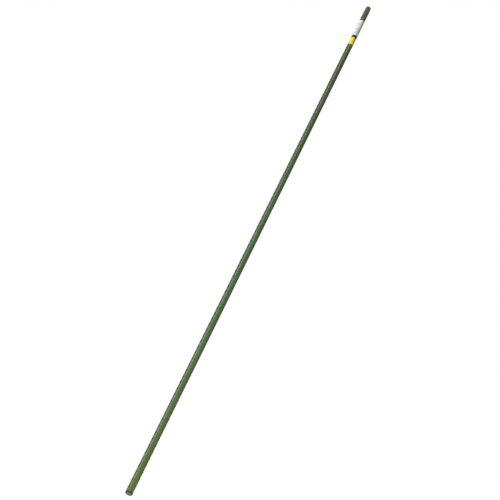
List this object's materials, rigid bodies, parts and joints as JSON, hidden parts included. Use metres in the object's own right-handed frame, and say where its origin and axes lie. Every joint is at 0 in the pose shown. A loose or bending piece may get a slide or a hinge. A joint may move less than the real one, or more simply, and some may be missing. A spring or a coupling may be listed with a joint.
{
  "type": "garden stake",
  "caption": "Straight plastic-coated steel garden stake with small raised nubs that hold ties, blunt end plugs and a plain film label wrapped below its top.",
  "frame": {"origin": "lowest point of the ground tip, on the stake's axis", "axes": "+Z along the stake from the ground tip to the top cap; -Y is the side that the picture shows"},
  "size_m": [0.0165, 0.017, 1.8],
  "materials": {
    "steel": "bare mill finish",
    "green_plastic": "satin extruded coat",
    "grey_plastic": "satin moulded",
    "label_film": "printed film"
  },
  "bodies": {
    "root": {"steel_tube": "steel", "plastic_coat": "green_plastic", "top_cap": "grey_plastic", "ground_tip": "grey_plastic", "wrap_label": "label_film"}
  },
  "joints": []
}
